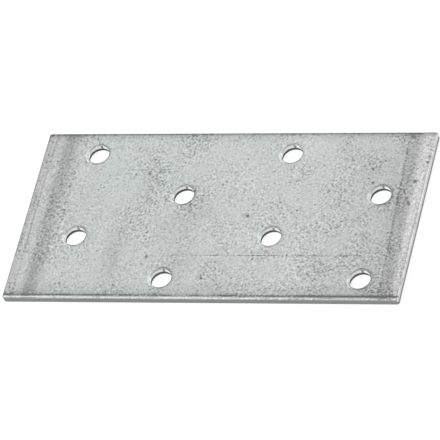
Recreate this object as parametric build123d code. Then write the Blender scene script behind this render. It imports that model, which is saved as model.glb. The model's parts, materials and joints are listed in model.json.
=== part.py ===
from build123d import *

import os

# Mending plate: one flat piece of galvanised steel sheet, sheared to size, with staggered screw holes.
# Millimetres. It lies flat. The origin is the middle of the underside, +X runs along the plate,
# +Y across it and +Z up, towards the side that the punch came down on.

# Blank
LENGTH = 80.0
WIDTH = 40.0
THICKNESS = 1.5
CORNER_RADIUS = 0.4  # the four corners, seen from above

# Screw holes, on a grid with every second place left solid
HOLE_DIAMETER = 4.3  # a close fit on a 4 mm screw
COLUMN_PITCH = 20.0
ROW_PITCH = 10.0
PATTERN_SHIFT_X = 1.5  # the ends were sheared off centre from the holes
PATTERN_SHIFT_Y = -0.2

# Section of the sheared outer edges, from the top down: rolled rim, straight land, torn foot
EDGE_ROLL_WIDTH = 1.0  # how far from the wall the top face starts to dip
EDGE_ROLL_DEPTH = 0.2  # how far it has dipped at the wall
EDGE_TEAR_HEIGHT = 1.1  # the lowest part, where the metal broke before the blade got there

# Section of the punched holes: the punch fits its die closely, so it rolls and tears less than the shear
HOLE_ROLL_WIDTH = 0.45
HOLE_ROLL_DEPTH = 0.15
HOLE_TEAR_HEIGHT = 0.65

TEAR_RELIEF = 0.02  # how far either tear leans back into the metal at the underside


def cut_wall(land, metal, roll_width, roll_depth, tear_height):
    """Edges of a cut wall in a vertical section, from the underside up to the top face.

    land is where the straight part of the wall stands. metal is the side that the sheet is on:
    1 where it lies beyond land, -1 where it lies before it.
    """
    return [
        Line((land + metal * TEAR_RELIEF, 0), (land, tear_height)),
        Line((land, tear_height), (land, THICKNESS - roll_depth)),
        EllipticalCenterArc(
            (land + metal * roll_width, THICKNESS - roll_depth),
            roll_width,
            roll_depth,
            start_angle=90 if metal > 0 else 0,
            arc_size=90,
        ),
    ]


def strip(span, section_plane, run):
    """A strip of sheet between two sheared edges that are span apart."""
    sheared = (EDGE_ROLL_WIDTH, EDGE_ROLL_DEPTH, EDGE_TEAR_HEIGHT)
    foot = span / 2 - TEAR_RELIEF
    rim = span / 2 - EDGE_ROLL_WIDTH
    outline = (
        cut_wall(-span / 2, 1, *sheared)
        + cut_wall(span / 2, -1, *sheared)
        + [Line((-foot, 0), (foot, 0)), Line((-rim, THICKNESS), (rim, THICKNESS))]
    )
    section = section_plane.offset(-run / 2) * make_face(outline)
    return extrude(section, amount=run)


def hole_punch():
    """The metal that a punch takes out: a slug with the wall's section turned about its axis."""
    land = HOLE_DIAMETER / 2
    outline = cut_wall(land, 1, HOLE_ROLL_WIDTH, HOLE_ROLL_DEPTH, HOLE_TEAR_HEIGHT) + [
        Line((0, 0), (land + TEAR_RELIEF, 0)),
        Line((0, THICKNESS), (land + HOLE_ROLL_WIDTH, THICKNESS)),
        Line((0, 0), (0, THICKNESS)),
    ]
    return revolve(Plane.XZ * make_face(outline), Axis.Z)


def hole_places():
    """Hole centres: alternate places of the grid, so each row sits half way between its neighbours."""
    columns = int(LENGTH // COLUMN_PITCH)
    rows = int(WIDTH // ROW_PITCH)
    return [
        (
            PATTERN_SHIFT_X + (column - (columns - 1) / 2) * COLUMN_PITCH,
            PATTERN_SHIFT_Y + (row - (rows - 1) / 2) * ROW_PITCH,
        )
        for row in range(rows)
        for column in range(columns)
        if (row + column) % 2 == 1
    ]


# Blank: the metal that lies between both pairs of sheared edges, with its corners broken
along = strip(LENGTH, Plane.XZ, WIDTH)
across = strip(WIDTH, Plane.YZ, LENGTH)
corners = extrude(RectangleRounded(LENGTH, WIDTH, CORNER_RADIUS), THICKNESS)
blank = along & across & corners

plate = blank - [Pos(x, y) * hole_punch() for x, y in hole_places()]

os.makedirs("parts", exist_ok=True)
export_step(plate, "parts/plate.step")
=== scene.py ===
import json
import math

import bpy
import numpy as np
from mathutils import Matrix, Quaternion, Vector, noise
from mathutils.geometry import delaunay_2d_cdt


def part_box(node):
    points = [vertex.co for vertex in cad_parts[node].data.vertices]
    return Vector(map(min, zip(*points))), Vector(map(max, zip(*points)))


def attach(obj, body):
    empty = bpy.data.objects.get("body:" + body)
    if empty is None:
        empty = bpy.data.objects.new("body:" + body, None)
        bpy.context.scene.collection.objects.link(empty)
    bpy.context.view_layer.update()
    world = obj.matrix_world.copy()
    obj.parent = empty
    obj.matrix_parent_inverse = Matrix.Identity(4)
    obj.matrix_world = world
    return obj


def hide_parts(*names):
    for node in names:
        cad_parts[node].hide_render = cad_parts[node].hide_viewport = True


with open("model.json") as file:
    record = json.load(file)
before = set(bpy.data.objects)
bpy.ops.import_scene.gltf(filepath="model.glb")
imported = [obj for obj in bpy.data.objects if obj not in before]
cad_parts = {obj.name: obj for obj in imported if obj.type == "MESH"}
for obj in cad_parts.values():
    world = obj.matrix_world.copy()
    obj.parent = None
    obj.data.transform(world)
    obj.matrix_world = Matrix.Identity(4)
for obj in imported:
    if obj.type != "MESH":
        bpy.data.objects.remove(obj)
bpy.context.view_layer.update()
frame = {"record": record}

# Mending plate of hot-dip galvanised sheet, sheared to size and punched for screws. It lies on a pale
# studio floor with its punched side up. Lengths are in metres; MM turns millimetres into them.

MM = 0.001

# ---------------------------------------------------------------- sizes
# The blank and the holes come from the frame. What the frame doesn't hold of the cut walls' sections is
# here again.

PLATE_LOW, PLATE_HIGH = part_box("plate")
HALF_SIZE = np.array((PLATE_HIGH.x, PLATE_HIGH.y))
THICKNESS = PLATE_HIGH.z
CORNER_RADIUS = 0.4 * MM

EDGE_ROLL_WIDTH = 1.0 * MM
EDGE_ROLL_DEPTH = 0.2 * MM
EDGE_TEAR_HEIGHT = 1.1 * MM
TEAR_RELIEF = 0.02 * MM

bores = [mount for mount in frame["record"]["mounts"] if mount["kind"] == "bore"]
land_middle = bores[0]["pos_m"][2]
land_length = bores[0]["dims"]["length_mm"] * MM
HOLE_PLACES = [np.array(bore["pos_m"][:2]) for bore in bores]
HOLE_RADIUS = bores[0]["dims"]["r_mm"] * MM
HOLE_TEAR_HEIGHT = land_middle - land_length / 2
HOLE_ROLL_DEPTH = THICKNESS - land_middle - land_length / 2
HOLE_ROLL_WIDTH = 0.45 * MM

# The uneven line that the finish draws where the outer edges' tear ends. It is lower at the right-hand end.
EDGE_TEAR_LINE = EDGE_TEAR_HEIGHT + 0.1 * MM
RIGHT_TEAR_LINE = 0.7 * MM

# Torn metal is lumpy: how wide the lumps are, and how far they stand out
TEAR_LUMP = 0.25 * MM
EDGE_TEAR_ROUGHNESS = 0.05 * MM
HOLE_TEAR_ROUGHNESS = 0.12 * MM
TEAR_SEED = 5

# Marks on the punched side. The tables are in millimetres; a tone is lighter above 0 and darker below it.
ZINC_WAVES = [  # height, width and seed of the zinc coat's unevenness
    (0.004, 5.0, 1.5),
    (0.0015, 1.6, 7.5),
]
PRESS_MARKS = [  # side, inset, half width and depth
    ("left", 5.2, 1.6, 0.02),
    ("left", 8.0, 0.2, 0.008),
    ("right", 4.2, 1.5, 0.02),
]
# The lines' tones are painted: the light ones are painted highlights on the rolled rims, and the dark ones
# painted shade in their shallow grooves.
SIDE_MARKS = [
    # Lines that run along a side: side, inset, how much more inset for each millimetre of X or Y, half width,
    # depth, tone, and the stretch of X or Y where the line is heavy
    ("front", 0.26, 0.0, 0.09, 0.0, 1.2, None),  # painted highlight on the rolled rim
    ("front", 0.67, 0.0, 0.15, 0.025, -0.9, (24.0, 40.0)),  # a groove that the shear's clamp pressed, with painted shade in it
    ("right", 0.16, 0.0, 0.08, 0.0, 0.5, None),
    ("right", 4.65, 0.038, 0.13, 0.006, -0.28, (-8.0, 16.0)),
    ("left", 7.6, 0.0, 0.1, 0.006, -0.2, (-2.0, 12.0)),
]
PITS = [  # X, Y and radius of the pits in the zinc that show most
    (5.9, -0.4, 0.28),
    (-12.6, -10.1, 0.28),
    (-0.3, -15.2, 0.28),
    (-16.6, 9.9, 0.2),
    (-20.0, 16.3, 0.14),
    (-0.8, 7.2, 0.15),
    (37.8, 8.0, 0.25),
    (39.4, 12.6, 0.25),
    (37.6, 2.5, 0.2),
    (29.5, 7.7, 0.2),
    (28.8, 10.9, 0.2),
    (15.5, 1.0, 0.14),
    (-25.4, 6.6, 0.13),
]
CLOUDS = [  # X, Y, half size along X, half size along Y, and tone of the larger smudges
    (-28.5, 3.0, 2.0, 12.0, -0.03),
    (-19.5, -9.0, 2.0, 8.0, -0.13),
    (-15.5, 8.0, 2.5, 6.0, -0.08),
    (-8.5, 17.0, 3.0, 3.0, -0.04),
    (-6.5, 2.0, 2.5, 5.0, -0.09),
    (-6.0, -12.0, 3.5, 5.0, -0.09),
    (2.0, -15.0, 3.0, 4.0, -0.06),
    (-4.0, 1.0, 4.0, 4.5, -0.05),
    (7.0, -5.0, 5.0, 3.0, 0.04),
    (4.0, 8.0, 4.0, 4.0, 0.04),
    (14.0, 17.0, 3.5, 3.5, 0.06),
    (22.0, -14.0, 3.0, 5.0, -0.06),
    (22.0, 17.0, 2.0, 3.0, -0.04),
    (28.5, 10.5, 2.5, 3.0, -0.05),
    (17.5, -13.0, 3.5, 5.0, 0.05),
    (-34.0, -3.0, 2.0, 3.5, 0.04),
    (33.5, 3.5, 2.0, 2.5, -0.1),
    (34.0, -17.5, 2.5, 3.0, -0.03),
    (33.0, 18.0, 6.0, 3.0, 0.03),
    (-38.0, -12.0, 1.5, 9.0, 0.05),
    (-10.0, -4.0, 3.0, 3.0, -0.06),
]
PIT_DEPTH = 0.02 * MM
PIT_TONE = -1.0
SCORE_Y = -9.8 * MM  # a thin line scribed along the sheet
SCORE_START = -8.5 * MM
SCORE_END = 32.0 * MM
SCORE_WIDTH = 0.09 * MM
SCORE_DEPTH = 0.02 * MM
SCORE_TONE = -0.5

# Mesh
TOP_STEP = 0.36 * MM
UNDERSIDE_STEP = 1.3 * MM
RIM_INSETS = (  # loops over the rolled rim, closest where it bends and over the lines along the front
    0.0, 0.01, 0.03, 0.07, 0.12, 0.19, 0.28, 0.38, 0.47, 0.54, 0.61, 0.68, 0.76, 0.87, 1.0,
)
SCORE_STEP = 0.2 * MM
PIT_RINGS = (0.4, 0.9, 1.4, 2.0)  # loops round a pit, in pit radii
PIT_CLEARING = 2.6  # in pit radii too
PIT_SEGMENTS = 12
HOLE_SEGMENTS = 96
LONG_SIDE_STEPS = 230
SHORT_SIDE_STEPS = 115
CORNER_STEPS = 7
SHARP_ANGLE = 38  # in degrees: flatter bends between faces are smooth

# Camera
SENSOR_WIDTH = 36.0  # this and the lens are in millimetres, as the camera takes them
LENS = 419.7
CAMERA_AIM = Vector((0.43, -1.3, 1.5)) * MM
CAMERA_AZIMUTH = 31.5  # this and the next two are in degrees
CAMERA_ELEVATION = 48.01
CAMERA_ROLL = -24.4
CAMERA_DISTANCE = 0.9806


# ---------------------------------------------------------------- blank

def outline(inset):
    """Points round the blank, moved in by inset, anticlockwise from the foot of the right-hand end."""
    radius = max(CORNER_RADIUS - inset, 0.0)
    reach = HALF_SIZE - inset - radius
    loop = []
    for quarter in range(4):
        angle = quarter * math.pi / 2
        out = np.array((math.cos(angle), math.sin(angle)))
        along = np.array((-out[1], out[0]))
        to_side, to_corner = reach if quarter % 2 == 0 else reach[::-1]
        steps = SHORT_SIDE_STEPS if quarter % 2 == 0 else LONG_SIDE_STEPS
        run = np.linspace(-to_corner, to_corner, steps, endpoint=False)[:, None]
        loop.append(out * (to_side + radius) + along * run)
        if radius > 0:
            turn = np.linspace(0, math.pi / 2, CORNER_STEPS, endpoint=False)[:, None]
            bend = out * np.cos(turn) + along * np.sin(turn)
            loop.append(out * to_side + along * to_corner + radius * bend)
    return np.vstack(loop)


def circle(centre, radius, segments=HOLE_SEGMENTS):
    """Points anticlockwise round a circle."""
    turn = np.arange(segments) * 2 * math.pi / segments
    return centre + radius * np.column_stack((np.cos(turn), np.sin(turn)))


def inside_edge(points):
    """How far each point lies inside the blank's outline."""
    past = np.abs(points) - (HALF_SIZE - CORNER_RADIUS)
    outside = np.linalg.norm(np.maximum(past, 0), axis=1)
    return CORNER_RADIUS - outside - np.minimum(past.max(axis=1), 0)


def hole_distance(points):
    """How far each point lies from the middle of the nearest hole."""
    return np.min([np.linalg.norm(points - place, axis=1) for place in HOLE_PLACES], axis=0)


def spread(step, edge_gap, hole_gap):
    """Points in staggered rows a step apart, clear of the edges and the holes."""
    rows = np.arange(-HALF_SIZE[1], HALF_SIZE[1], step * math.sqrt(3) / 2)
    row_points = np.arange(-HALF_SIZE[0], HALF_SIZE[0], step)
    points = np.vstack([
        np.column_stack((row_points + step / 2 * (number % 2), np.full(len(row_points), y)))
        for number, y in enumerate(rows)
    ])
    clear = (inside_edge(points) > edge_gap) & (hole_distance(points) > hole_gap)
    return points[clear]


def triangles(loops, loose, opening):
    """Flat triangles over the loops and loose points, with openings of that radius left out for the holes."""
    points, edges = [], []
    for loop in loops:
        first = sum(len(p) for p in points)
        count = len(loop)
        edges += [(first + i, first + (i + 1) % count) for i in range(count)]
        points.append(loop)
    plan = np.vstack(points + [loose]) / MM
    same_point = 1e-5  # in millimetres, as the plan is here
    corners, _, faces, *_ = delaunay_2d_cdt([Vector(p) for p in plan], edges, [], 1, same_point)
    corners = np.array(corners) * MM
    faces = np.array(faces)
    # A triangle with no corner beyond a hole's rim lies in its opening
    beyond_rim = hole_distance(corners) > opening + 0.01 * MM
    return corners, faces[beyond_rim[faces].any(axis=1)]


def edge_drop(points):
    """How far the rolled rim of the sheared edges dips below the top face."""
    inset = inside_edge(points)
    share = np.clip(1 - inset / EDGE_ROLL_WIDTH, 0, 1)
    return EDGE_ROLL_DEPTH * (1 - np.sqrt(1 - share**2))


def top_face():
    """The punched side, out to where the sheared edges turn down, with round openings for the holes."""
    insets = np.array(RIM_INSETS) * MM
    rim = HOLE_RADIUS + HOLE_ROLL_WIDTH
    rings = [circle(place, rim) for place in HOLE_PLACES]
    rings += [circle(place, rim + 0.5 * TOP_STEP) for place in HOLE_PLACES]
    loose = spread(TOP_STEP, insets[-1] + 0.6 * TOP_STEP, rim + TOP_STEP)

    # Closer points over the scribed line and the pits
    across = np.array((-2, -1, 0, 1, 2)) * SCORE_WIDTH
    along = np.arange(SCORE_START, SCORE_END, SCORE_STEP)
    score = np.array([(x, SCORE_Y + y) for x in along for y in across])
    near_score = (np.abs(loose[:, 1] - SCORE_Y) < 3 * SCORE_WIDTH) & (loose[:, 0] > SCORE_START - MM)
    loose = loose[~(near_score & (loose[:, 0] < SCORE_END + MM))]
    marks = [score[hole_distance(score) > rim + TOP_STEP]]
    for x, y, radius in PITS:
        centre = np.array((x, y)) * MM
        loose = loose[np.linalg.norm(loose - centre, axis=1) > PIT_CLEARING * radius * MM]
        marks += [circle(centre, share * radius * MM, PIT_SEGMENTS) for share in PIT_RINGS]
        marks.append(centre[None])

    loops = [outline(inset) for inset in insets] + rings
    plan, faces = triangles(loops, np.vstack([loose] + marks), rim)
    return np.column_stack((plan, THICKNESS - edge_drop(plan))), faces


def underside():
    """The other side, flat on what it lies on."""
    rim = HOLE_RADIUS + TEAR_RELIEF
    rings = [circle(place, rim) for place in HOLE_PLACES]
    rings += [circle(place, rim + 0.4 * UNDERSIDE_STEP, HOLE_SEGMENTS // 3) for place in HOLE_PLACES]
    loose = spread(UNDERSIDE_STEP, TEAR_RELIEF + 0.6 * UNDERSIDE_STEP, rim + UNDERSIDE_STEP)
    plan, faces = triangles([outline(TEAR_RELIEF)] + rings, loose, rim)
    return np.column_stack((plan, np.zeros(len(plan)))), faces[:, ::-1]


def sheared_edge():
    """The wall all round the blank: a straight land over a torn foot that leans in and isn't smooth."""
    land = np.linspace(THICKNESS - EDGE_ROLL_DEPTH, EDGE_TEAR_HEIGHT, 3)
    tear = np.linspace(EDGE_TEAR_HEIGHT, 0, 9)[1:]
    rings = []
    for height in np.concatenate((land, tear)):
        torn = max(1 - height / EDGE_TEAR_HEIGHT, 0.0)
        ring = np.column_stack((outline(torn * TEAR_RELIEF), np.full(len(outline(0)), height)))
        if 0 < torn < 1:
            ring = roughen(ring, TEAR_LUMP, EDGE_TEAR_ROUGHNESS * math.sin(math.pi * torn))
        rings.append(ring)
    count = len(rings[0])
    step = np.arange(count)
    after = (step + 1) % count
    faces = [
        np.column_stack((step + upper, step + upper + count, after + upper + count, after + upper))
        for upper in range(0, count * (len(rings) - 1), count)
    ]
    return np.vstack(rings), np.vstack(faces)


def roughen(points, lump, height):
    """Points moved a little at random, level with where they were, with lumps about as wide as lump."""
    noise.seed_set(TEAR_SEED)  # noise_vector has a seed of its own for each run otherwise
    moves = [noise.noise_vector(Vector(p) / lump) for p in points]
    return points + np.array(moves) * (height, height, 0)


def mesh_object(name, parts):
    """One object from several (points, faces, cut) parts. cut marks the faces of a sheared edge."""
    points, faces, cut = [], [], []
    for part_points, part_faces, is_cut in parts:
        faces += (part_faces + sum(len(p) for p in points)).tolist()
        points.append(part_points)
        cut += [is_cut] * len(part_faces)
    mesh = bpy.data.meshes.new(name)
    mesh.from_pydata(np.vstack(points).tolist(), [], faces)
    mesh.attributes.new("sheared", "BOOLEAN", "FACE").data.foreach_set("value", cut)
    piece = bpy.data.objects.new(name, mesh)
    bpy.context.scene.collection.objects.link(piece)
    return piece


# ---------------------------------------------------------------- nodes

def add(tree, kind, inputs=None, stops=(), **settings):
    """Adds a node with its settings. Each input, by name or number, gets a value, a socket, or a node,
    which stands for its first output. stops are a colour ramp's (position, grey level) pairs."""
    node = tree.nodes.new(kind)
    for name, value in settings.items():
        setattr(node, name, value)
    for name, value in (inputs or {}).items():
        if isinstance(value, bpy.types.Node):
            value = value.outputs[0]
        if isinstance(value, bpy.types.NodeSocket):
            tree.links.new(value, node.inputs[name])
        else:
            node.inputs[name].default_value = value
    for _ in stops[2:]:  # a new ramp has two
        node.color_ramp.elements.new(0.5)
    for number, (position, level) in enumerate(stops):
        node.color_ramp.elements[number].position = position
        node.color_ramp.elements[number].color = (level, level, level, 1)
    return node


# ---------------------------------------------------------------- punched holes

def hole_section(tree, size):
    """The section of a hole's wall, as curves for its tear, land and roll. X is outward from the wall,
    and Y is down from the top face."""
    bend = 1 - 0.5523  # where a quarter ellipse's handles stand, as a share of its axes
    land_foot = add(tree, "ShaderNodeMath", {
        0: size["Thickness"], 1: size["Tear Height"],
    }, operation="SUBTRACT")
    rim_handle = add(tree, "ShaderNodeMath", {0: size["Roll Width"], 1: bend}, operation="MULTIPLY")
    land_handle = add(tree, "ShaderNodeMath", {0: size["Roll Depth"], 1: bend}, operation="MULTIPLY")
    land_top = add(tree, "ShaderNodeCombineXYZ", {"Y": size["Roll Depth"]})
    land_foot = add(tree, "ShaderNodeCombineXYZ", {"Y": land_foot})
    tear_foot = add(tree, "ShaderNodeCombineXYZ", {"X": size["Tear Relief"], "Y": size["Thickness"]})
    roll = add(tree, "GeometryNodeCurvePrimitiveBezierSegment", {
        "Resolution": 8,
        "Start": add(tree, "ShaderNodeCombineXYZ", {"X": size["Roll Width"]}),
        "Start Handle": add(tree, "ShaderNodeCombineXYZ", {"X": rim_handle}),
        "End Handle": add(tree, "ShaderNodeCombineXYZ", {"Y": land_handle}),
        "End": land_top,
    })
    land = add(tree, "GeometryNodeCurvePrimitiveLine", {"Start": land_top, "End": land_foot})
    land = add(tree, "GeometryNodeResampleCurve", {"Curve": land, "Count": 4})
    tear = add(tree, "GeometryNodeCurvePrimitiveLine", {"Start": land_foot, "End": tear_foot})
    tear = add(tree, "GeometryNodeResampleCurve", {"Curve": tear, "Count": 8})
    return tear, land, roll


def hole_wall(tree, size):
    """One hole's wall: each part of the section turned about the hole's axis. The attribute "punched" is
    on the cut faces and "rim" on the rolled rim, and "about_axis" holds each point's place in radii."""
    tear, land, roll = hole_section(tree, size)
    circle_line = add(tree, "GeometryNodeCurvePrimitiveCircle", {
        "Resolution": size["Segments"], "Radius": size["Hole Radius"],
    })
    wall = add(tree, "GeometryNodeJoinGeometry")
    for section, is_cut in ((tear, True), (land, True), (roll, False)):
        strip = add(tree, "GeometryNodeCurveToMesh", {"Curve": circle_line, "Profile Curve": section})
        strip = add(tree, "GeometryNodeStoreNamedAttribute", {
            "Geometry": strip, "Name": "punched", "Value": is_cut,
        }, data_type="BOOLEAN", domain="FACE")
        strip = add(tree, "GeometryNodeStoreNamedAttribute", {
            "Geometry": strip, "Name": "rim", "Value": 0.0 if is_cut else 1.0,
        }, data_type="FLOAT", domain="POINT")
        tree.links.new(strip.outputs[0], wall.inputs[0])
    wall = add(tree, "GeometryNodeFlipFaces", {"Mesh": wall})  # they face the metal until here
    about_axis = add(tree, "ShaderNodeVectorMath", {
        0: add(tree, "GeometryNodeInputPosition"),
        "Scale": add(tree, "ShaderNodeMath", {0: 1.0, 1: size["Hole Radius"]}, operation="DIVIDE"),
    }, operation="SCALE")
    return add(tree, "GeometryNodeStoreNamedAttribute", {
        "Geometry": wall, "Name": "about_axis", "Value": about_axis,
    }, data_type="FLOAT_VECTOR", domain="POINT")


def lumpy_tears(tree, size, holes):
    """The holes with their torn metal made lumpy, most of all half way down the tear."""
    height = add(tree, "ShaderNodeSeparateXYZ", {0: add(tree, "GeometryNodeInputPosition")}).outputs["Z"]
    share = add(tree, "ShaderNodeMath", {0: height, 1: size["Tear Height"]}, operation="DIVIDE")
    share = add(tree, "ShaderNodeMath", {0: share, 1: 1.0}, operation="MINIMUM")
    swell = add(tree, "ShaderNodeMath", {0: share, 1: math.pi}, operation="MULTIPLY")
    swell = add(tree, "ShaderNodeMath", {0: swell}, operation="SINE")
    swell = add(tree, "ShaderNodeMath", {0: swell, 1: size["Tear Roughness"]}, operation="MULTIPLY")
    lumps = add(tree, "ShaderNodeTexNoise", {
        "W": size["Seed"], "Scale": 1 / TEAR_LUMP, "Detail": 2.0,
    }, noise_dimensions="4D").outputs["Color"]
    lumps = add(tree, "ShaderNodeVectorMath", {0: lumps, 1: (0.5, 0.5, 0.5)}, operation="SUBTRACT")
    lumps = add(tree, "ShaderNodeVectorMath", {0: lumps, 1: (1.0, 1.0, 0.0)}, operation="MULTIPLY")
    move = add(tree, "ShaderNodeVectorMath", {0: lumps, "Scale": swell}, operation="SCALE")
    return add(tree, "GeometryNodeSetPosition", {"Geometry": holes, "Offset": move})


def punched_holes_tree():
    """Geometry nodes that give the blank's openings their walls: rolled rim, straight land, torn foot."""
    tree = bpy.data.node_groups.new("punched holes", "GeometryNodeTree")
    tree.interface.new_socket("Blank", in_out="INPUT", socket_type="NodeSocketGeometry")
    for name, kind in (
        ("Hole Places", "Object"),
        ("Hole Radius", "Float"),
        ("Thickness", "Float"),
        ("Roll Width", "Float"),
        ("Roll Depth", "Float"),
        ("Tear Height", "Float"),
        ("Tear Relief", "Float"),
        ("Tear Roughness", "Float"),
        ("Segments", "Int"),
        ("Seed", "Int"),
        ("Sheet Finish", "Material"),
        ("Punched Finish", "Material"),
        ("Sheared Finish", "Material"),
    ):
        tree.interface.new_socket(name, in_out="INPUT", socket_type="NodeSocket" + kind)
    tree.interface.new_socket("Plate", in_out="OUTPUT", socket_type="NodeSocketGeometry")
    size = add(tree, "NodeGroupInput").outputs

    # One hole at each place, hung from the top face
    places = add(tree, "GeometryNodeObjectInfo", {"Object": size["Hole Places"]})
    centres = add(tree, "GeometryNodeSetPosition", {
        "Geometry": places.outputs["Geometry"],
        "Offset": add(tree, "ShaderNodeCombineXYZ", {"Z": size["Thickness"]}),
    })
    holes = add(tree, "GeometryNodeInstanceOnPoints", {
        "Points": centres, "Instance": hole_wall(tree, size),
    })
    holes = add(tree, "GeometryNodeRealizeInstances", {"Geometry": holes})
    holes = lumpy_tears(tree, size, holes)

    plate = add(tree, "GeometryNodeJoinGeometry", {0: size["Blank"]})
    tree.links.new(holes.outputs[0], plate.inputs[0])
    plate = add(tree, "GeometryNodeMergeByDistance", {"Geometry": plate, "Distance": 0.002 * MM})
    plate = add(tree, "GeometryNodeRealizeInstances", {"Geometry": plate})
    plate = add(tree, "GeometryNodeSetMaterial", {"Geometry": plate, "Material": size["Sheet Finish"]})
    for attribute, finish in (("punched", "Punched Finish"), ("sheared", "Sheared Finish")):
        chosen = add(tree, "GeometryNodeInputNamedAttribute", {"Name": attribute}, data_type="BOOLEAN")
        plate = add(tree, "GeometryNodeSetMaterial", {
            "Geometry": plate, "Selection": chosen, "Material": size[finish],
        })
    add(tree, "NodeGroupOutput", {0: plate})
    return tree


def punch(blank, finishes):
    """Gives the blank its holes' walls and the finishes, and leaves it a plain mesh."""
    places = bpy.data.meshes.new("hole_places")
    places.from_pydata([(x, y, 0.0) for x, y in HOLE_PLACES], [], [])
    places = bpy.data.objects.new("hole_places", places)
    bpy.context.scene.collection.objects.link(places)
    modifier = blank.modifiers.new("punched holes", "NODES")
    modifier.node_group = punched_holes_tree()
    values = {
        "Hole Places": places,
        "Hole Radius": HOLE_RADIUS,
        "Thickness": THICKNESS,
        "Roll Width": HOLE_ROLL_WIDTH,
        "Roll Depth": HOLE_ROLL_DEPTH,
        "Tear Height": HOLE_TEAR_HEIGHT,
        "Tear Relief": TEAR_RELIEF,
        "Tear Roughness": HOLE_TEAR_ROUGHNESS,
        "Segments": HOLE_SEGMENTS,
        "Seed": TEAR_SEED,
        **finishes,
    }
    for item in modifier.node_group.interface.items_tree:
        if item.name in values:
            modifier[item.identifier] = values[item.name]
    graph = bpy.context.evaluated_depsgraph_get()
    mesh = bpy.data.meshes.new_from_object(blank.evaluated_get(graph), depsgraph=graph)
    blank.modifiers.remove(modifier)
    bpy.data.objects.remove(places)
    blank.data = mesh


# ---------------------------------------------------------------- wear

def ripple(points, width, seed):
    """Smooth random height from -1 to 1, with swells about as wide as width."""
    return np.array([noise.noise(Vector((x / width, y / width, seed))) for x, y in points])


def broken(points, share, contrast, gap, seed):
    """How much of a line is there, from 0 to 1. It comes and goes in stretches about as long as gap."""
    return np.clip(share + contrast * ripple(points, gap, seed), 0, 1)


def bell(distance, half_width):
    """1 where the distance is 0, fading to almost 0 at twice the half width."""
    return np.exp(-((distance / half_width) ** 2))


def wear(piece):
    """Works on the punched side: uneven zinc, press marks near the ends, a scribed line and pits.

    The surface moves. The attribute "tone" marks dirt, and painted shade and painted highlights along the
    sides.
    """
    count = len(piece.data.vertices)
    points = np.empty(count * 3)
    piece.data.vertices.foreach_get("co", points)
    points = points.reshape(-1, 3)
    plan = points[:, :2]
    x, y = plan.T
    insets = {"front": HALF_SIZE[1] + y, "right": HALF_SIZE[0] - x, "left": HALF_SIZE[0] + x}
    tone = np.zeros(count)

    relief = sum(height * MM * ripple(plan, width * MM, seed) for height, width, seed in ZINC_WAVES)
    for side, inset, width, depth in PRESS_MARKS:
        relief -= depth * MM * bell(insets[side] - inset * MM, width * MM)

    # The scribed line fades in and out over 2 mm
    along = np.clip(np.minimum(x - SCORE_START, SCORE_END - x) / (2 * MM), 0, 1)
    score = along * broken(plan, 0.6, 1.2, 3 * MM, 11.5) * bell(y - SCORE_Y, SCORE_WIDTH)
    relief -= SCORE_DEPTH * score
    tone += SCORE_TONE * score

    # Each line along a side breaks up in its own way, and less so over its heavy stretch
    # Their tones are painted highlights and painted shade
    for side, inset, lean, width, depth, shade, heavy in SIDE_MARKS:
        run = x if side == "front" else y
        away = insets[side] - lean * run
        weight = 0.0
        if heavy:
            start, end = np.array(heavy) * MM
            weight = np.clip(np.minimum(run - start, end - run) / (3 * MM) + 0.5, 0, 0.9)
        there = broken(plan, 0.42 + weight, 1.1, 3.5 * MM, 20 * inset)
        mark = there * bell(away - inset * MM, width * MM)
        relief -= depth * MM * mark
        tone += shade * mark

    for cloud_x, cloud_y, wide, long, shade in CLOUDS:
        tone += shade * bell(np.hypot((x / MM - cloud_x) / wide, (y / MM - cloud_y) / long), 1.0)
    for pit_x, pit_y, radius in PITS:
        pit = bell(np.hypot(x - pit_x * MM, y - pit_y * MM), radius * MM)
        relief -= PIT_DEPTH * pit
        tone += PIT_TONE * pit

    # The relief fades out down the walls, to nothing at the underside
    points[:, 2] += relief * points[:, 2] / THICKNESS
    piece.data.vertices.foreach_set("co", points.ravel())
    piece.data.attributes.new("tone", "FLOAT", "POINT").data.foreach_set("value", tone)
    piece.data.update()
    piece.data.shade_smooth()
    piece.data.set_sharp_from_angle(angle=math.radians(SHARP_ANGLE))


# ---------------------------------------------------------------- finishes

def colour(code):
    """An sRGB hex colour as the linear values that a shader takes."""
    values = [int(code[i : i + 2], 16) / 255 for i in (1, 3, 5)]
    return [v / 12.92 if v <= 0.04045 else ((v + 0.055) / 1.055) ** 2.4 for v in values] + [1.0]


def finish_tree(name):
    """A new material and its node tree, with the shader that carries its finish."""
    material = bpy.data.materials.new(name)
    material.use_nodes = True
    tree = material.node_tree
    return material, tree, tree.nodes["Principled BSDF"]


# The zinc has a tone from 0, its dark colour, to 1, its light one. These say how much lighter or darker than
# its plain tone it is, from each side of the sheet inwards: (distance in millimetres, tone). They are painted
# light and shade: the dark and light lines over the rolled rims are painted reflections, and the ends, which
# were gripped in the press, get darker bands of painted shade over the press marks.
PAINTED_SIDE_LIGHT = {
    "left": (
        (0.0, -0.13), (0.8, -0.11), (1.0, -0.19), (1.2, -0.09), (1.6, -0.11), (1.8, -0.27), (2.1, -0.08),
        (2.8, -0.06), (3.4, -0.09), (4.3, -0.28), (5.5, -0.25), (6.5, -0.17), (7.3, -0.04), (8.2, -0.02),
        (12.0, 0.0),
    ),
    "right": (
        (0.0, 0.06), (1.3, 0.1), (1.8, 0.04), (2.2, -0.1), (2.8, -0.22), (3.4, -0.25), (4.4, -0.24),
        (5.0, -0.13), (6.0, -0.12), (7.4, -0.08), (13.0, -0.05), (20.0, 0.0),
    ),
    "far": ((0.0, -0.25), (0.3, -0.36), (0.5, -0.3), (0.8, -0.16), (1.5, -0.05), (2.5, 0.0)),
    "front": (
        (0.0, -0.3), (0.1, -0.25), (0.25, 0.1), (0.4, 0.0), (0.7, -0.25), (1.0, -0.2), (1.4, -0.12),
        (2.2, -0.08), (4.0, 0.0),
    ),
}

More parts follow.
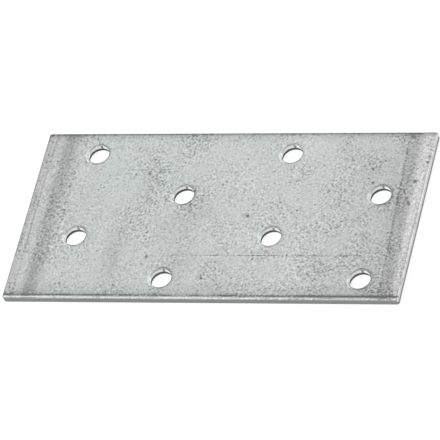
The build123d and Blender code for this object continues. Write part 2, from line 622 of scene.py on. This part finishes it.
# From the left-hand end (0) to the right-hand one (1): how strong the zinc's grain is, and how green it is
GRAIN_STRENGTH = (
    (0.0, 1.0), (0.1, 1.0), (0.15, 0.62), (0.23, 0.6), (0.3, 0.9), (0.42, 0.9), (0.52, 0.72), (0.7, 0.9),
    (0.85, 1.05), (1.0, 1.05),
)
GREEN_CAST = (
    (0.0, 0.15), (0.08, 0.3), (0.16, 0.6), (0.36, 0.6), (0.45, 0.4), (0.6, 0.45), (0.7, 0.25), (0.95, 0.2),
    (1.0, 0.0),
)


def zinc_tone(tree, here, along, grain, marks):
    """The zinc's tone with its grain, which is stronger in clouds about 7 mm wide and where the marks darken
    it.
    """
    cloud = add(tree, "ShaderNodeTexNoise", {"Vector": here, "Scale": 1 / (7 * MM), "Detail": 2.0})
    strength = add(tree, "ShaderNodeMapRange", {
        "Value": cloud, "From Min": 0.38, "From Max": 0.62, "To Min": 0.2, "To Max": 0.62,
    })
    darker_by_marks = add(tree, "ShaderNodeMapRange", {
        "Value": marks, "From Min": -0.15, "From Max": 0.15, "To Min": 0.24, "To Max": -0.24,
    })
    strength = add(tree, "ShaderNodeMath", {0: strength, 1: darker_by_marks}, operation="ADD")
    by_place = add(tree, "ShaderNodeValToRGB", {0: along}, stops=GRAIN_STRENGTH)
    strength = add(tree, "ShaderNodeMath", {0: strength, 1: by_place}, operation="MULTIPLY")
    strength = add(tree, "ShaderNodeClamp", {"Value": strength, "Min": 0.15, "Max": 0.9})

    # The grain's highest spots are dark specks, and its lowest ones glint
    specks = add(tree, "ShaderNodeMapRange", {
        "Value": grain, "From Min": 0.6, "From Max": 0.72, "To Max": 0.32,
    })
    glints = add(tree, "ShaderNodeMapRange", {
        "Value": grain, "From Min": 0.38, "From Max": 0.27, "To Max": 0.2,
    })
    grain_tone = add(tree, "ShaderNodeMath", {0: grain, 1: -0.8, 2: 0.4}, operation="MULTIPLY_ADD")
    grain_tone = add(tree, "ShaderNodeMath", {0: grain_tone, 1: specks}, operation="SUBTRACT")
    grain_tone = add(tree, "ShaderNodeMath", {0: grain_tone, 1: glints}, operation="ADD")

    # The stronger the grain, the darker the zinc
    plain = add(tree, "ShaderNodeMath", {0: strength, 1: -0.12, 2: 0.578}, operation="MULTIPLY_ADD")
    return add(tree, "ShaderNodeMath", {0: grain_tone, 1: strength, 2: plain}, operation="MULTIPLY_ADD")


def with_pinholes(tree, here, tone):
    """The tone with pinholes 0.3 mm wide and about 3 mm apart, some fainter than others."""
    spots = add(tree, "ShaderNodeTexVoronoi", {
        "Vector": here, "Scale": 1 / (3.2 * MM), "Randomness": 1.0,
    }, voronoi_dimensions="2D").outputs
    faint = add(tree, "ShaderNodeSeparateXYZ", {0: spots["Color"]}).outputs["X"]
    pinholes = add(tree, "ShaderNodeMapRange", {
        "Value": spots["Distance"], "From Min": 0.035, "From Max": 0.075, "To Min": -0.5, "To Max": 0.0,
    })
    return add(tree, "ShaderNodeMath", {0: pinholes, 1: faint, 2: tone}, operation="MULTIPLY_ADD")


def with_streaks(tree, here, axes, tone):
    """The tone with fine streaks across the sheet near both ends, 0.35 mm wide and 9 mm long."""
    stretched = add(tree, "ShaderNodeVectorMath", {
        0: here, 1: (1 / 0.35, 1 / 9, 1.0),
    }, operation="MULTIPLY")
    streaks = add(tree, "ShaderNodeTexNoise", {"Vector": stretched, "Scale": 1 / MM, "Detail": 2.0})
    streaks = add(tree, "ShaderNodeMath", {0: streaks, 1: 0.5}, operation="SUBTRACT")
    from_middle = add(tree, "ShaderNodeMath", {0: axes["X"]}, operation="ABSOLUTE")
    near_end = add(tree, "ShaderNodeMapRange", {
        "Value": from_middle,
        "From Min": HALF_SIZE[0] - 9 * MM,
        "From Max": HALF_SIZE[0] - 2 * MM,
        "To Max": 0.35,
    })
    return add(tree, "ShaderNodeMath", {0: streaks, 1: near_end, 2: tone}, operation="MULTIPLY_ADD")


def with_painted_side_light(tree, here, axes, tone):
    """The tone with painted shade and painted highlights along each side, which waver by so many millimetres
    along a ragged border. The right-hand band also slants."""
    ragged = add(tree, "ShaderNodeTexNoise", {"Vector": here, "Scale": 1 / (1.5 * MM), "Detail": 3.0})
    for side, axis, outward, waver, slant in (
        ("left", "X", -1, 0.5, 0.0),
        ("right", "X", 1, 0.4, 0.038),
        ("far", "Y", 1, 0.12, 0.0),
        ("front", "Y", -1, 0.12, 0.0),
    ):
        bands = PAINTED_SIDE_LIGHT[side]
        reach = bands[-1][0]
        half = HALF_SIZE["XY".index(axis)]
        inset = add(tree, "ShaderNodeMath", {
            0: axes[axis], 1: -outward, 2: half,
        }, operation="MULTIPLY_ADD")
        inset = add(tree, "ShaderNodeMath", {
            0: axes["Y"], 1: -slant, 2: inset,
        }, operation="MULTIPLY_ADD")
        inset = add(tree, "ShaderNodeMath", {0: inset, 1: 1 / (reach * MM)}, operation="MULTIPLY")
        inset = add(tree, "ShaderNodeMath", {
            0: ragged, 1: waver / reach, 2: inset,
        }, operation="MULTIPLY_ADD")
        inset = add(tree, "ShaderNodeMath", {0: inset, 1: -waver / reach / 2}, operation="ADD")
        # A ramp holds no level below 0, so its levels are tones raised by a half
        stops = [(distance / reach, 0.5 + shade) for distance, shade in bands]
        shade = add(tree, "ShaderNodeValToRGB", {0: inset}, stops=stops)
        shade = add(tree, "ShaderNodeMath", {0: shade, 1: 0.5}, operation="SUBTRACT")
        tone = add(tree, "ShaderNodeMath", {0: tone, 1: shade}, operation="ADD")
    return tone


def with_painted_rim_light(tree, tone):
    """The tone with painted shade round most of each hole's rolled rim, and a painted highlight on it to the
    left.
    """
    about_axis = add(tree, "ShaderNodeAttribute", attribute_name="about_axis").outputs["Vector"]
    place = add(tree, "ShaderNodeSeparateXYZ", {0: about_axis}).outputs
    left = add(tree, "ShaderNodeMapRange", {
        "Value": place["X"], "From Min": -0.85, "From Max": -0.05, "To Min": 0.35, "To Max": -0.3,
    })
    right = add(tree, "ShaderNodeMapRange", {
        "Value": place["X"], "From Min": 0.1, "From Max": 0.8, "To Max": 0.12,
    })
    painted_rim_light = add(tree, "ShaderNodeMath", {0: left, 1: right}, operation="ADD")
    rim = add(tree, "ShaderNodeAttribute", attribute_name="rim").outputs["Fac"]
    return add(tree, "ShaderNodeMath", {0: rim, 1: painted_rim_light, 2: tone}, operation="MULTIPLY_ADD")


def zinc_colour(tree, here, along, tone):
    """The zinc's colour at that tone. Its green cast is strongest left of the middle, in patches, and
    gone at the right-hand end."""
    cast = add(tree, "ShaderNodeValToRGB", {0: along}, stops=GREEN_CAST)
    patches = add(tree, "ShaderNodeTexNoise", {"Vector": here, "Scale": 1 / (14 * MM), "Detail": 1.0})
    patches = add(tree, "ShaderNodeMath", {0: patches, 1: 0.5}, operation="ADD")
    cast = add(tree, "ShaderNodeMath", {0: cast, 1: patches}, operation="MULTIPLY")
    dark = add(tree, "ShaderNodeMix", {
        "Factor": cast, "A": colour("#7D7D7D"), "B": colour("#7A7E7D"),
    }, data_type="RGBA").outputs["Result"]
    light = add(tree, "ShaderNodeMix", {
        "Factor": cast, "A": colour("#F4F4F3"), "B": colour("#EAF5F3"),
    }, data_type="RGBA").outputs["Result"]
    return add(tree, "ShaderNodeMix", {
        "Factor": tone, "A": dark, "B": light,
    }, data_type="RGBA").outputs["Result"]


def galvanised_sheet():
    """Hot-dip galvanised sheet steel: a thin zinc coat that has dulled to light grey. It gives a soft satin
    sheen, with fine dark specks that gather in clouds, a faint green cast left of the middle, and duller
    bands with fine streaks near both ends, partly painted shade over the press marks. The holes' rims and the
    lines along the sides carry painted shade and painted highlights."""
    material, tree, shader = finish_tree("galvanised sheet")
    here = add(tree, "ShaderNodeTexCoord").outputs["Object"]
    axes = add(tree, "ShaderNodeSeparateXYZ", {0: here}).outputs
    along = add(tree, "ShaderNodeMapRange", {
        "Value": axes["X"], "From Min": -HALF_SIZE[0], "From Max": HALF_SIZE[0],
    })
    marks = add(tree, "ShaderNodeAttribute", attribute_name="tone").outputs["Fac"]

    # The grain is 0.4 mm wide, which is coarser than the real one, so that it shows
    drawn = add(tree, "ShaderNodeVectorMath", {0: here, 1: (1.0, 0.9, 1.0)}, operation="MULTIPLY")
    grain = add(tree, "ShaderNodeTexNoise", {"Vector": drawn, "Scale": 1 / (0.4 * MM), "Detail": 0.0})

    tone = zinc_tone(tree, here, along, grain, marks)
    tone = with_pinholes(tree, here, tone)
    tone = with_streaks(tree, here, axes, tone)
    # Painted shade and painted highlights along each side
    tone = with_painted_side_light(tree, here, axes, tone)
    # Marks from the punched side: dirt, and painted shade and painted highlights along the sides
    tone = add(tree, "ShaderNodeMath", {0: tone, 1: marks}, operation="ADD")
    # Painted shade and a painted highlight on the holes' rolled rims
    tone = with_painted_rim_light(tree, tone)
    tree.links.new(zinc_colour(tree, here, along, tone), shader.inputs["Base Color"])
    shader.inputs["Metallic"].default_value = 1.0
    sheen = add(tree, "ShaderNodeMapRange", {
        "Value": grain, "From Min": 0.3, "From Max": 0.7, "To Min": 0.24, "To Max": 0.32,
    })
    tree.links.new(sheen.outputs[0], shader.inputs["Roughness"])
    bump = add(tree, "ShaderNodeBump", {"Height": grain, "Strength": 1.0, "Distance": 0.003 * MM})
    tree.links.new(bump.outputs[0], shader.inputs["Normal"])
    return material


def torn_share(tree, here, axes, tear_height, right_tear_height):
    """1 on the torn part of a cut wall and 0 above the uneven line where the tear ends. The height at the
    right-hand end takes over in the corners' bends."""
    tear = add(tree, "ShaderNodeMapRange", {
        "Value": axes["X"],
        "From Min": HALF_SIZE[0] - 0.4 * MM,
        "From Max": HALF_SIZE[0] - 0.2 * MM,
        "To Min": tear_height,
        "To Max": right_tear_height,
    })
    above = add(tree, "ShaderNodeMath", {0: axes["Z"], 1: tear}, operation="SUBTRACT")
    wobble = add(tree, "ShaderNodeTexNoise", {"Vector": here, "Scale": 1 / (0.7 * MM), "Detail": 3.0})
    above = add(tree, "ShaderNodeMath", {0: wobble, 1: 0.3 * MM, 2: above}, operation="MULTIPLY_ADD")
    return add(tree, "ShaderNodeMapRange", {
        "Value": above, "From Min": 0.08 * MM, "From Max": 0.22 * MM, "To Min": 1.0, "To Max": 0.0,
    })


def painted_hole_shade(tree):
    """Painted shade on the same side of every hole's wall: a dark streak down the far side, and a darker
    stretch to its left.
    """
    about_axis = add(tree, "ShaderNodeAttribute", attribute_name="about_axis").outputs["Vector"]
    place = add(tree, "ShaderNodeSeparateXYZ", {0: about_axis}).outputs
    streak_x = 0.03  # in radii, as all of these are
    aside = add(tree, "ShaderNodeMath", {0: place["X"], 1: streak_x}, operation="SUBTRACT")
    aside = add(tree, "ShaderNodeMath", {0: aside}, operation="ABSOLUTE")
    painted_streak = add(tree, "ShaderNodeMapRange", {
        "Value": aside, "From Min": 0.07, "From Max": 0.16, "To Min": 0.85, "To Max": 0.0,
    })
    far_side = add(tree, "ShaderNodeMath", {0: place["Y"], 1: 0.5}, operation="GREATER_THAN")
    painted_streak = add(tree, "ShaderNodeMath", {0: painted_streak, 1: far_side}, operation="MULTIPLY")
    painted_left_shade = add(tree, "ShaderNodeMapRange", {
        "Value": place["X"], "From Min": -0.9, "From Max": -0.5, "To Min": 0.36, "To Max": 0.25,
    })
    left_side = add(tree, "ShaderNodeMath", {0: place["X"], 1: streak_x}, operation="LESS_THAN")
    painted_left_shade = add(tree, "ShaderNodeMath", {0: painted_left_shade, 1: left_side}, operation="MULTIPLY")
    beyond = add(tree, "ShaderNodeMath", {0: place["Y"], 1: 0.15}, operation="GREATER_THAN")
    painted_left_shade = add(tree, "ShaderNodeMath", {0: painted_left_shade, 1: beyond}, operation="MULTIPLY")
    return add(tree, "ShaderNodeMath", {0: painted_streak, 1: painted_left_shade}, operation="MAXIMUM")


def cut_wall(name, tear_height, right_tear_height, land_colour, torn_colour):
    """Bare steel where the tool cut it: a straight, burnished and bright upper part that ends at an
    uneven line, and below it the dull, dark and rough face where the metal tore. The tear may stand at
    another height at the right-hand end."""
    material, tree, shader = finish_tree(name)
    here = add(tree, "ShaderNodeTexCoord").outputs["Object"]
    axes = add(tree, "ShaderNodeSeparateXYZ", {0: here}).outputs
    torn = torn_share(tree, here, axes, tear_height, right_tear_height)
    # Dark where the metal tore, and where painted shade lies on the holes' walls
    torn_and_painted_shade = add(tree, "ShaderNodeMath", {0: torn, 1: painted_hole_shade(tree)}, operation="MAXIMUM")
    metal = add(tree, "ShaderNodeMix", {
        "Factor": torn_and_painted_shade, "A": colour(land_colour), "B": colour(torn_colour),
    }, data_type="RGBA")
    tree.links.new(metal.outputs["Result"], shader.inputs["Base Color"])
    shader.inputs["Metallic"].default_value = 1.0
    dull = add(tree, "ShaderNodeMapRange", {"Value": torn, "To Min": 0.28, "To Max": 0.6})
    tree.links.new(dull.outputs[0], shader.inputs["Roughness"])
    crumbs = add(tree, "ShaderNodeTexNoise", {"Vector": here, "Scale": 1 / (0.12 * MM), "Detail": 2.0})
    crumbs = add(tree, "ShaderNodeMath", {0: crumbs, 1: torn}, operation="MULTIPLY")
    bump = add(tree, "ShaderNodeBump", {"Height": crumbs, "Strength": 1.0, "Distance": 0.03 * MM})
    tree.links.new(bump.outputs[0], shader.inputs["Normal"])
    return material


# ---------------------------------------------------------------- stage

def studio_floor():
    """A plain white floor. It shows white to the eye, in metal and through the holes, and keeps a
    shadow."""
    size = 4.0
    level = PLATE_LOW.z - 0.02 * MM  # clear of the underside, so that no two faces coincide
    corners = [(-size, -size, level), (size, -size, level), (size, size, level), (-size, size, level)]
    mesh = bpy.data.meshes.new("studio_floor")
    mesh.from_pydata(corners, [], [(0, 1, 2, 3)])
    floor = bpy.data.objects.new("studio_floor", mesh)
    bpy.context.scene.collection.objects.link(floor)
    material, tree, shader = finish_tree("white studio floor")
    shader.inputs["Base Color"].default_value = colour("#9C9C9C")
    shader.inputs["Roughness"].default_value = 0.9
    shader.inputs["Specular IOR Level"].default_value = 0.0
    shader.inputs["Emission Color"].default_value = (1, 1, 1, 1)
    path = add(tree, "ShaderNodeLightPath").outputs
    seen = add(tree, "ShaderNodeMath", {
        0: path["Is Camera Ray"], 1: path["Is Glossy Ray"],
    }, operation="ADD")
    seen = add(tree, "ShaderNodeMath", {0: seen, 1: path["Is Transmission Ray"]}, operation="ADD")
    glow = add(tree, "ShaderNodeMath", {0: seen, 1: 0.82}, operation="MULTIPLY")
    tree.links.new(glow.outputs[0], shader.inputs["Emission Strength"])
    mesh.materials.append(material)


def towards(azimuth, elevation):
    """The direction at that azimuth, in degrees from -Y towards +X, and elevation above the floor."""
    turn, rise = math.radians(azimuth), math.radians(elevation)
    return Vector((math.sin(turn) * math.cos(rise), -math.cos(turn) * math.cos(rise), math.sin(rise)))


def softbox(name, azimuth, elevation, distance, width, height, radiance):
    """A rectangular lamp that faces the plate, as bright as a surface of that radiance."""
    lamp = bpy.data.lights.new(name, "AREA")
    lamp.shape = "RECTANGLE"
    lamp.size = width
    lamp.size_y = height
    lamp.energy = radiance * math.pi * width * height
    holder = bpy.data.objects.new(name, lamp)
    away = towards(azimuth, elevation)
    holder.location = away * distance
    holder.rotation_euler = away.to_track_quat("Z", "Y").to_euler()
    bpy.context.scene.collection.objects.link(holder)


def studio_light():
    """Soft light from all round, with a broad softbox behind the plate, one to its right and one in
    front of it."""
    world = bpy.data.worlds.new("studio")
    bpy.context.scene.world = world
    world.use_nodes = True
    tree = world.node_tree
    room = tree.nodes["Background"]
    room.inputs["Color"].default_value = (1, 1, 1, 1)
    path = add(tree, "ShaderNodeLightPath").outputs
    level = add(tree, "ShaderNodeMapRange", {
        "Value": path["Is Camera Ray"], "To Min": 0.45, "To Max": 1.0,
    })
    tree.links.new(level.outputs[0], room.inputs["Strength"])
    softbox("back_softbox", azimuth=211, elevation=44, distance=1.3, width=1.3, height=0.7, radiance=0.65)
    softbox("right_softbox", azimuth=140, elevation=40, distance=1.3, width=0.9, height=0.9, radiance=0.8)
    softbox("front_softbox", azimuth=-45, elevation=53, distance=1.6, width=1.5, height=1.5, radiance=1.3)


def studio_camera():
    """The camera, a long way off with a long lens, turned a little about its own axis."""
    camera = bpy.data.objects.new("camera", bpy.data.cameras.new("camera"))
    camera.data.sensor_width = SENSOR_WIDTH
    camera.data.lens = LENS
    back = towards(CAMERA_AZIMUTH, CAMERA_ELEVATION)
    camera.location = CAMERA_AIM + back * CAMERA_DISTANCE
    level = (-back).to_track_quat("-Z", "Y")
    camera.rotation_mode = "QUATERNION"
    camera.rotation_quaternion = level @ Quaternion((0, 0, 1), math.radians(CAMERA_ROLL))
    camera.data.clip_start = 0.05
    camera.data.clip_end = 20.0
    bpy.context.scene.collection.objects.link(camera)
    bpy.context.scene.camera = camera


# ---------------------------------------------------------------- making

studio_camera()
studio_floor()
studio_light()

plate = mesh_object("mending_plate", [
    (*top_face(), False),
    (*underside(), False),
    (*sheared_edge(), True),
])
punch(plate, {
    "Sheet Finish": galvanised_sheet(),
    "Punched Finish": cut_wall(
        "punched wall", HOLE_TEAR_HEIGHT, HOLE_TEAR_HEIGHT, land_colour="#F4F6F5", torn_colour="#5E5F5F",
    ),
    "Sheared Finish": cut_wall(
        "sheared edge", EDGE_TEAR_LINE, RIGHT_TEAR_LINE, land_colour="#C8C9C9", torn_colour="#979898",
    ),
})
wear(plate)
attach(plate, "root")
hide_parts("plate")

bpy.context.scene.view_settings.view_transform = "Standard"
